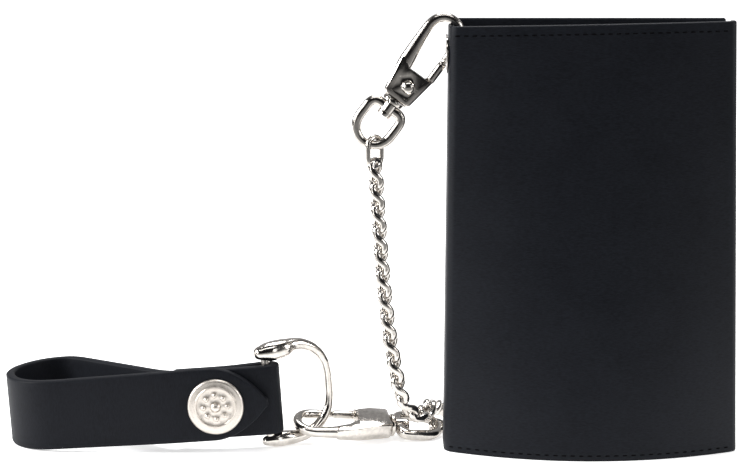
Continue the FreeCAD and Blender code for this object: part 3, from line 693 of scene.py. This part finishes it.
upper_half = ring_half(1, 0.55)
lower_half = ring_half(-1, 0.0)
path, sizes = smooth_path(upper_half + list(reversed(lower_half)), 0.45)
verts, faces = swept(path, sizes, put_ring, square=2.2)
ring_bar = swept([(0, -12.0), (0, -4), (0, 4), (0, 12.0)], [(1.2, 1.2)] * 4, put_ring, square=2.0)
ring = make_object("d_ring_casting", *joined(verts, faces, *ring_bar), CREASE)
finish_piece(ring, NICKEL, "cast_nickel", "d_ring")
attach(ring, "d_ring")

# ---- chain links  ----
LINK_LONG = 9.35
LINK_ACROSS = 5.35


def islands(obj):
    """Each separate solid of a CAD mesh, as an array of its points in mm."""
    bm = bmesh.new()
    bm.from_mesh(obj.data)
    bmesh.ops.remove_doubles(bm, verts=bm.verts, dist=WELD)
    seen, out = set(), []
    for start in bm.verts:
        if start in seen:
            continue
        stack, found = [start], []
        seen.add(start)
        while stack:
            v = stack.pop()
            found.append(v.co.copy())
            for edge in v.link_edges:
                other = edge.other_vert(v)
                if other not in seen:
                    seen.add(other)
                    stack.append(other)
        out.append(np.array(found) / MM)
    bm.free()
    return out


def link_frame(points):
    """Middle, long axis, and the across directions at the two ends."""
    centre = (points.max(0) + points.min(0)) / 2
    _, axes = np.linalg.eigh(np.cov((points - points.mean(0)).T))
    t = axes[:, -1]
    along = (points - centre) @ t
    centre = centre + t * (along.max() + along.min()) / 2
    along = (points - centre) @ t
    sides = []
    for sign in (1, -1):
        part = points[sign * along > 0.58 * LINK_LONG / 2]
        flat = part - part.mean(0)
        flat = flat - np.outer(flat @ t, t)
        _, axes = np.linalg.eigh(flat.T @ flat)
        sides.append(axes[:, -1])
    if sides[0] @ sides[1] < 0:
        sides[1] = -sides[1]
    return centre, t, sides[0], sides[1]


def link_mesh(points, wire, flatten, turn=0.0, across=LINK_ACROSS):
    """A bent wire link, swept round a twisted oval and filed flat outside. Its
    twist is of the other hand to the CAD link's."""
    centre, t, side_a, side_b = link_frame(points)
    middle = side_a + side_b
    middle = middle / np.linalg.norm(middle)
    normal = np.cross(t, middle)
    swing = math.atan2(side_a @ normal, side_a @ middle)
    if turn:
        # the hanging links are turned about the chain to show their edges
        facing = np.array((0.0, -1.0, 0.0))
        facing = facing - t * (facing @ t)
        facing /= np.linalg.norm(facing)
        if facing @ middle < 0:
            facing = -facing
        angle = math.atan2(np.cross(middle, facing) @ t, middle @ facing) * turn
        middle = middle * math.cos(angle) + np.cross(t, middle) * math.sin(angle)
        normal = np.cross(t, middle)
    rad = (across - wire) / 2
    run = (LINK_LONG - wire) / 2 - rad
    path = []
    steps = 14
    for k in range(steps + 1):
        a = math.pi * k / steps - math.pi / 2
        path.append((run + rad * math.cos(a), rad * math.sin(a)))
    for k in range(1, 6):
        path.append((run - 2 * run * k / 6, rad))
    for k in range(steps + 1):
        a = math.pi * k / steps + math.pi / 2
        path.append((-run + rad * math.cos(a), rad * math.sin(a)))
    for k in range(1, 6):
        path.append((-run + 2 * run * k / 6, -rad))
    line = []
    for a, b in path:
        f = max(-1.0, min(1.0, a / run)) if run > 0 else 1.0
        f = f * (1.5 - 0.5 * f * f)
        angle = -swing * f
        line.append(centre + t * a + (middle * math.cos(angle) + normal * math.sin(angle)) * b)
    line = np.array(line)
    n = len(line)
    loops = []
    for i in range(n):
        tangent = line[(i + 1) % n] - line[i - 1]
        tangent /= np.linalg.norm(tangent)
        out = line[i] - centre
        out = out - tangent * (out @ tangent)
        out /= np.linalg.norm(out)
        third = np.cross(tangent, out)
        ring = []
        r = wire / 2
        for k in range(16):
            a = 2 * math.pi * k / 16
            o, q = r * math.cos(a), r * math.sin(a) * 1.03
            if o > flatten * r:
                o = flatten * r + (o - flatten * r) * 0.25
            ring.append(tuple(line[i] + out * o + third * q))
        loops.append(ring)
    return grid_shell(loops, closed=True)


def add_links(node, body, wire, flatten, turn=0.0, across=LINK_ACROSS):
    verts, faces = [], []
    for points in islands(NODES[node]):
        verts, faces = joined(verts, faces, *link_mesh(points, wire, flatten, turn, across))
    obj = make_object(node + "_wire", verts, faces, 60.0)
    finish_piece(obj, CHAIN, "chain_nickel", node)
    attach(obj, body)


LINK_WIRE = 1.98
LINK_FLAT = 0.84
add_links("link_01", "link_01", 1.5, 1.1, -0.35, 6.2)
for index in range(2, 18):
    name = "link_%02d" % index
    add_links(name, name, LINK_WIRE, LINK_FLAT, clamp((16 - index) / 4.0))
for index in range(1, 5):
    name = "chain_run_%d" % index
    add_links(name, name, LINK_WIRE, LINK_FLAT)

# ---- wallet  ----
HEIGHT = 114.0
BASE_Y = -12.6
FOLD_X = 37.2
BULGE_LOW = 10.6
BULGE_TOP = 2.4
LEFT_FLARE = (-0.3, 0.6)
RIGHT_FLARE = (-1.0, 1.7)
THICK = 1.6


# The flares are how far each side stands out at the top and at the foot.
def bulge(z, low, top):
    f = clamp(z / HEIGHT)
    return low + (top - low) * (f * 0.85 + 0.15 * f * f)


def flare(x, z):
    """The panel is a little wider at its foot than at its top."""
    f = clamp(z / HEIGHT)
    if x > 0:
        return x + (RIGHT_FLARE[1] + (RIGHT_FLARE[0] - RIGHT_FLARE[1]) * f) * min(1.0, x / FOLD_X)
    return x - (LEFT_FLARE[1] * (1 - f) + LEFT_FLARE[0] * f) * min(1.0, -x / FOLD_X)


def swell(x, z, half, low, top):
    return bulge(z, low, top) * max(0.0, 1 - (x / half) ** 2)


def normal_of(line, s, z, shape):
    """Point and outward normal of a plan line after shape(x, y, z)."""
    step = 0.25
    x0, y0, _, _ = line.at(max(0.0, s - step))
    x1, y1, _, _ = line.at(min(line.length, s + step))
    x, y, _, _ = line.at(s)
    a = shape(x0, y0, z)
    b = shape(x1, y1, z)
    p = shape(x, y, z)
    dx, dy = b[0] - a[0], b[1] - a[1]
    size = math.hypot(dx, dy)
    return (p[0], p[1], z), (dy / size, -dx / size, 0.0)


# Outer leather: back, left spine and front panel in one run of leather.
outer_pts, outer_run = rounded_line(
    [(36.8, 0.0), (-FOLD_X, 0.0), (-FOLD_X, BASE_Y + 0.4), (FOLD_X, BASE_Y + 0.4), (FOLD_X, -11.2)],
    [0, 2.3, 1.5, 0.9, 0], 1.1)
OUTER = PlanLine(outer_pts, outer_run)


def outer_shape(x, y, z):
    if y < -11.0:
        inner = clamp((-11.0 - y) / 1.2)
        y = y - inner * swell(x, z, FOLD_X + 0.4, BULGE_LOW, BULGE_TOP)
        dip = 0.35 * math.sin(z / HEIGHT * math.pi)
        y = y + inner * dip * max(0.0, 1 - (x / 30.0) ** 2) * 0.6
    return flare(x, z), y


def outer_place(s, z):
    return normal_of(OUTER, s, z, outer_shape)


def front_top(x):
    """Height of the front panel's upper edge, which rises a little to the right."""
    return HEIGHT - 0.5 + 1.4 * clamp((x + 37) / 74.0)


def outer_stations():
    out = []
    for s in OUTER.run:
        x, y, _, _ = OUTER.at(s)
        if y > -1.5:
            top = HEIGHT + 0.8
        elif y > -10.5:
            top = HEIGHT - 0.6
        else:
            top = front_top(x)
        out.append((float(s), 0.0, top))
    return out


wallet = sheet("wallet_outer", outer_stations(), THICK, 0.45, 46, outer_place)
finish_piece(wallet, WALLET, "wallet_leather", "cover_back", "cover_front")
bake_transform(wallet)

# Right spine and the inner flap it folds into.
inner_pts, inner_run = rounded_line(
    [(FOLD_X, -11.2), (FOLD_X, -4.6), (-31.8, -4.6)], [0, 1.6, 0], 1.1)
INNER = PlanLine(inner_pts, inner_run)


def inner_shape(x, y, z):
    return flare(x, z) if y < -6.5 or x > 30 else x + (flare(30.0, z) - 30.0) * max(0.0, x / 30.0), y


def inner_stations():
    out = []
    for s in INNER.run:
        x, y, _, _ = INNER.at(s)
        drop = clamp((-6.0 - y) / 3.5)
        top = 99.0 + (HEIGHT + 0.9 - 99.0) * (drop ** 0.6)
        low = 1.0 - drop
        corner = max(0.0, (-27.8 - x)) if y > -5 else 0.0
        top -= 4.0 - math.sqrt(max(0.0, 16.0 - corner * corner)) if corner > 0 else 0.0
        out.append((float(s), low, top))
    return out


inner = sheet("wallet_inner_flap", inner_stations(), THICK, 0.45, 40,
              lambda s, z: normal_of(INNER, s, z, inner_shape))
finish_piece(inner, WALLET, "wallet_leather", "cover_inner")
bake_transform(inner)


def corner_drop(corner, near):
    """How far a rounded corner lies below the straight top, near its side."""
    near = max(0.0, corner - near)
    return corner - math.sqrt(max(0.0, corner * corner - near * near))


def flat_piece(name, x0, x1, y, z0, z1, thick, corner, material, slot, body, node, wave=0.0):
    """A flat pocket sheet with rounded upper corners and a slight ripple."""
    count = 44
    stations = []
    for k in range(count + 1):
        x = x0 + (x1 - x0) * k / count
        stations.append((x, z0, z1 - corner_drop(corner, min(x - x0, x1 - x))))

    def place(s, z):
        ripple = wave * math.sin(s * 0.21 + z * 0.07) * (z - z0) / (z1 - z0)
        return (s, y + ripple, z), (0.0, -1.0, 0.0)

    obj = sheet(name, stations, thick, min(0.3, thick * 0.42), 18, place)
    finish_piece(obj, material, slot, node)
    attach(obj, body)


def curved_piece(name, half, y_edge, low, top_bulge, offset, thick, z0, z1, node, wave=0.12):
    """A pocket sheet that swells forward with the front panel."""
    count = 46
    stations = []
    corner = 1.5
    for k in range(count + 1):
        x = -half + 2 * half * k / count
        stations.append((x, z0, z1 - corner_drop(corner, min(x + half, half - x))))

    def place(s, z):
        def y_at(x):
            return y_edge + offset + thick / 2 - swell(x, z, half, low, top_bulge)
        slope = (y_at(s + 0.3) - y_at(s - 0.3)) / 0.6
        size = math.hypot(1.0, slope)
        ripple = wave * math.sin(s * 0.17 + 1.3 * offset)
        return (s, y_at(s) + ripple * 0.3, z), (slope / size, -1.0 / size, 0.0)

    obj = sheet(name, stations, thick, min(0.3, thick * 0.42), 18, place)
    finish_piece(obj, POCKET, "pocket_leather", node)
    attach(obj, "front_panel")


flat_piece("lining_cloth", -34.3, 35.3, -1.2, 1.5, 97.0, 0.74, 2.0,
           LINING, "lining_cloth", "back_flap", "back_lining")
for index in range(3):
    y = -4.6 - 0.8 - 0.8 * index - 0.4
    flat_piece("inner_pocket_sheet_%d" % (index + 1), -30.9, 33.4, y, 1.5, 88.0 - 13.0 * index, 0.74, 1.5,
               POCKET, "pocket_leather", "inner_flap", "inner_pocket_%d" % (index + 1))
curved_piece("bill_divider_sheet", 32.0, -11.8, 5.0, 0.9, 0.0, 0.95, 1.0, 107.0, "bill_divider")
for index in range(3):
    curved_piece("front_pocket_sheet_%d" % (index + 1), 31.5, -11.8, 5.0, 0.9, 1.03 + index * 0.83, 0.74, 1.5,
                 90.0 - 13.0 * index, "front_pocket_%d" % (index + 1))


def window_frame():
    """The identity window's leather frame: four eased strips in one piece."""
    y, thick = -2.0, 0.74
    outer = (-33.4, 34.9, 2.0, 92.0)
    hole = (-25.0, 27.0, 14.0, 80.0)

    def ring(x0, x1, z0, z1, r, yy):
        out = []
        for cx, cz, a0 in ((x1 - r, z1 - r, 0), (x0 + r, z1 - r, 90),
                           (x0 + r, z0 + r, 180), (x1 - r, z0 + r, 270)):
            for k in range(6):
                a = math.radians(a0 + 18 * k)
                out.append((cx + r * math.cos(a), yy, cz + r * math.sin(a)))
        return out

    h = thick / 2
    rings = [ring(*outer, 2.0, y - h + 0.2),
             ring(outer[0] + 0.2, outer[1] - 0.2, outer[2] + 0.2, outer[3] - 0.2, 1.8, y - h),
             ring(hole[0] - 0.2, hole[1] + 0.2, hole[2] - 0.2, hole[3] + 0.2, 1.7, y - h),
             ring(*hole, 1.5, y - h + 0.2),
             ring(*hole, 1.5, y + h), ring(*outer, 2.0, y + h)]
    return grid_shell(rings, closed=True)


verts, faces = window_frame()
frame_piece = make_object("id_frame_sheet", verts, faces, CREASE)
finish_piece(frame_piece, POCKET, "pocket_leather", "id_frame")
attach(frame_piece, "back_flap")


# ---- stitching  ----
def stitch_row(name, places, length, radius, body, slot):
    """Short stitches, each a plump oval thread half sunk in the leather."""
    verts, faces = [], []
    rings, around = 6, 8
    for point, along, out in places:
        point, along, out = (np.array(v, float) for v in (point, along, out))
        side = np.cross(along, out)
        loops = []
        for i in range(1, rings):
            a = math.pi * i / rings
            r = radius * math.sin(a) ** 0.7
            u = -math.cos(a) * length / 2
            sink = -0.22 * radius * (2 * u / length) ** 2
            loop = []
            for k in range(around):
                b = 2 * math.pi * k / around
                loop.append(tuple(point + along * u + out * (r * math.cos(b) + sink)
                                  + side * r * math.sin(b)))
            loops.append(loop)
        verts, faces = joined(verts, faces, *grid_shell(loops))
    obj = make_object(name, verts, faces, 70.0)
    finish_piece(obj, THREAD, slot)
    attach(obj, body)


def front_places(height, pitch):
    """Places along the front panel at a height above its foot."""
    places = []
    start = next(float(s) for s in OUTER.run if OUTER.at(s)[1] < -11.4 and OUTER.at(s)[0] > -35.8)
    end = next(float(s) for s in OUTER.run if OUTER.at(s)[0] > 35.6 and OUTER.at(s)[1] < -11.4)
    s = start
    while s < end:
        x = OUTER.at(s)[0]
        z = height(x)
        p, n = outer_place(s, z)
        q, _ = outer_place(s + 0.5, height(OUTER.at(s + 0.5)[0]))
        along = np.array(q) - np.array(p)
        along /= np.linalg.norm(along)
        point = np.array(p) + np.array(n) * THICK / 2
        places.append((point, along, n))
        s += pitch
    return places


STITCH_PITCH = 2.2
STITCH = (1.35, 0.19)
stitch_row("stitches_top", front_places(lambda x: front_top(x) - 2.5, STITCH_PITCH), *STITCH,
           "front_panel", "wallet_leather")
stitch_row("stitches_foot", front_places(lambda x: 1.5, STITCH_PITCH), *STITCH,
           "front_panel", "wallet_leather")

# ---- belt strap  ----
STRAP = 18.8
STRAP_THICK = 2.4
BAR = (-84.9, -9.8)
LOOP = (-141.3, -0.8)
LOOP_R = 10.1
TILT = math.radians(3.9)
PIVOT_X = LOOP[0] - LOOP_R - STRAP_THICK / 2
SNAP_X = -98.5
WRAP = 1.2 + 0.1 + STRAP_THICK / 2
FRONT_Y = BAR[1] - WRAP
TONGUE_Y = -14.85
TIP_X = -84.6


def tilted(p):
    """The strap and ring lean up towards the ring."""
    x, z = p[0] - PIVOT_X, p[2]
    return (PIVOT_X + x * math.cos(TILT) - z * math.sin(TILT), p[1],
            max(0.0, x) * math.sin(TILT) + z * math.cos(TILT))


def turned(n):
    return (n[0] * math.cos(TILT) - n[2] * math.sin(TILT), n[1],
            n[0] * math.sin(TILT) + n[2] * math.cos(TILT))


def arc_points(centre, radius, a0, a1, step=7.0):
    count = max(2, int(abs(a1 - a0) / step))
    return [(centre[0] + radius * math.cos(math.radians(a0 + (a1 - a0) * k / count)),
             centre[1] + radius * math.sin(math.radians(a0 + (a1 - a0) * k / count)))
            for k in range(count + 1)]


LOOP_MIDDLE = (-142.5, 1.6)
LOOP_REACH = (12.4, 14.4)


def loop_points(a0, a1, step=4.0):
    """The belt loop bulges a little more than a plain arc."""
    count = max(2, int(abs(a1 - a0) / step))
    out = []
    for k in range(count + 1):
        a = math.radians(a0 + (a1 - a0) * k / count)
        out.append((LOOP_MIDDLE[0] + LOOP_REACH[0] * math.cos(a),
                    LOOP_MIDDLE[1] + LOOP_REACH[1] * math.sin(a)))
    return out


def strap_line():
    """From the short end, round the ring's bar, along the front and round the
    back of the loop to the bend where the tongue begins."""
    rear_y = FRONT_Y + STRAP_THICK
    pts = [(SNAP_X - 11.0, rear_y), (BAR[0] - 9.5, rear_y + 0.02)]
    away = (-8.0, rear_y - BAR[1])
    leave = math.degrees(math.atan2(away[1], away[0]) % (2 * math.pi) - math.acos(WRAP / math.hypot(*away)))
    pts += arc_points(BAR, WRAP, leave, -90.0)
    pts += [(SNAP_X - 8.0, FRONT_Y), (SNAP_X - 13.0, FRONT_Y + 0.9)]
    pts += loop_points(74.0, 186.0)
    return pts


STRAP_RUN = eased_line(strap_line(), 1.6, 6)


def strap_place(s, z):
    x, y, tx, ty = STRAP_RUN.at(s)
    return tilted((x, y, z)), turned((-ty, tx, 0.0))


strap = sheet("strap_leather", [(float(s), 0.0, STRAP) for s in STRAP_RUN.run], STRAP_THICK, 0.6, 12,
              strap_place, (True, False))
finish_piece(strap, STRAP_LOOK, "strap_leather", "strap")
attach(strap, "strap")

# Tongue: from the left bend forward and along the front to its point.
tongue_pts = loop_points(186.0, 262.0)
tongue_pts += [(-134.0, -13.4), (-122.0, -14.2), (-112.0, TONGUE_Y), (TIP_X, TONGUE_Y)]
TONGUE_RUN = eased_line(tongue_pts, 0.9, 8)


def tongue_half(x):
    """Half height of the tongue: straight, then an ogive to the point."""
    shoulder = TIP_X - 10.5
    if x < shoulder - 4.0:
        return STRAP / 2
    f = clamp((x - shoulder + 4.0) / (TIP_X - shoulder + 4.0))
    return max(1.3, (STRAP / 2) * (1 - f ** 1.75) ** 0.80)


def tongue_place(s, z):
    x, y, tx, ty = TONGUE_RUN.at(s)
    return tilted((x, y, z)), turned((ty, -tx, 0.0))


stations = []
for s in TONGUE_RUN.run:
    x = TONGUE_RUN.at(s)[0]
    half = tongue_half(x)
    flare_up = 0.9 * clamp((x + 140.0) / 35.0) * half / (STRAP / 2)
    stations.append((float(s), STRAP / 2 - half, STRAP / 2 + half + flare_up))
tongue = sheet("tongue_leather", stations, STRAP_THICK, 0.6, 12, tongue_place, (False, True))
finish_piece(tongue, STRAP_LOOK, "strap_leather", "strap_tongue")
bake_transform(tongue)

# ---- floor, light and camera  ----
floor_mesh = bpy.data.meshes.new("floor")
floor_mesh.from_pydata([(-4, -4, 0), (4, -4, 0), (4, 4, 0), (-4, 4, 0)], [], [(0, 1, 2, 3)])
floor = bpy.data.objects.new("floor", floor_mesh)
bpy.context.scene.collection.objects.link(floor)
floor_look, floor_nodes, floor_links, floor_shader = new_material("floor_look")
# Painted light and shade on the floor: a painted glow makes it pale and self-lit under
# and behind the object, and painted shade makes it dark in front of it: the part in front is what the metal
# and the leather reflect.
where = floor_nodes.new("ShaderNodeTexCoord")
depth = floor_nodes.new("ShaderNodeSeparateXYZ")
floor_links.new(where.outputs["Object"], depth.inputs["Vector"])
reach = floor_nodes.new("ShaderNodeMapRange")
reach.inputs["From Min"].default_value = -0.5
reach.inputs["From Max"].default_value = 1.0
floor_links.new(depth.outputs["Y"], reach.inputs["Value"])
# painted shade: the floor's colour is dark in front of the object and pale behind it
painted_shade_tone = ramp(floor_nodes, [(at, (g, g, g, 1)) for at, g in
                          ((0.0, 0.17), (0.24, 0.20), (0.302, 0.93), (1.0, 0.93))])
# painted glow: the floor gives off light, faint in front and bright under and behind the object
painted_glow = ramp(floor_nodes, [(at, (g, g, g, 1)) for at, g in
                          ((0.0, 0.01), (0.24, 0.015), (0.302, 0.50), (0.45, 0.60), (0.85, 1.0))])
floor_links.new(reach.outputs["Result"], painted_shade_tone.inputs["Fac"])
floor_links.new(reach.outputs["Result"], painted_glow.inputs["Fac"])
floor_links.new(painted_shade_tone.outputs["Color"], floor_shader.inputs["Base Color"])
floor_links.new(painted_glow.outputs["Color"], floor_shader.inputs["Emission Color"])
floor_shader.inputs["Emission Strength"].default_value = 1.0
floor_shader.inputs["Roughness"].default_value = 0.7
floor_mesh.materials.append(floor_look)

world = bpy.data.worlds.new("studio")
bpy.context.scene.world = world
world.use_nodes = True
sky, sky_links = world.node_tree.nodes, world.node_tree.links
# Brightest behind the set, dim behind the camera.
direction = sky.new("ShaderNodeTexCoord")
split = sky.new("ShaderNodeSeparateXYZ")
sky_links.new(direction.outputs["Generated"], split.inputs["Vector"])
fade = ramp(sky, [(0.0, (0.012, 0.012, 0.013, 1)), (0.45, (0.03, 0.03, 0.032, 1)),
                  (0.62, (0.16, 0.16, 0.165, 1)), (0.90, (0.30, 0.30, 0.305, 1)),
                  (0.97, (0.55, 0.55, 0.56, 1))])
spread = sky.new("ShaderNodeMapRange")
spread.inputs["From Min"].default_value = -1.0
spread.inputs["From Max"].default_value = 1.0
sky_links.new(split.outputs["Y"], spread.inputs["Value"])
sky_links.new(spread.outputs["Result"], fade.inputs["Fac"])
background = sky["Background"]
sky_links.new(fade.outputs["Color"], background.inputs["Color"])
background.inputs["Strength"].default_value = 1.3


def area(name, place, aim, width, height, power):
    data = bpy.data.lights.new(name, "AREA")
    data.shape = "RECTANGLE"
    data.size, data.size_y = width, height
    data.energy = power
    obj = bpy.data.objects.new(name, data)
    bpy.context.scene.collection.objects.link(obj)
    obj.location = place
    obj.rotation_euler = (Vector(aim) - Vector(place)).to_track_quat("-Z", "Y").to_euler()


AIM = (-0.05, 0.0, 0.05)
area("key_left", (-0.85, -0.15, 0.46), (0.0, 0.0, 0.08), 0.30, 0.50, 13.0)
area("fill_right", (0.72, -0.26, 0.32), (-0.02, 0.0, 0.07), 0.22, 0.45, 3.0)
area("front_top", (0.0, -0.55, 0.85), AIM, 0.9, 0.22, 2.0)
area("strip_right", (0.58, -0.74, 0.24), AIM, 0.14, 0.50, 0.6)
area("strip_left", (-0.66, -0.70, 0.26), AIM, 0.14, 0.50, 1.4)
area("top", (0.0, 0.25, 0.95), AIM, 0.6, 0.4, 9.0)

camera_data = bpy.data.cameras.new("camera")
camera_data.lens = 110.0
camera_data.sensor_width = 36.0
camera = bpy.data.objects.new("camera", camera_data)
bpy.context.scene.collection.objects.link(camera)
camera.location = (-0.057, -0.6075, 0.1598)
camera.rotation_euler = (math.radians(90 - 9.7), 0.0, 0.0)
bpy.context.scene.camera = camera
bpy.context.scene.view_settings.view_transform = "Standard"

# ---- update the view layer ----
bpy.context.view_layer.update()
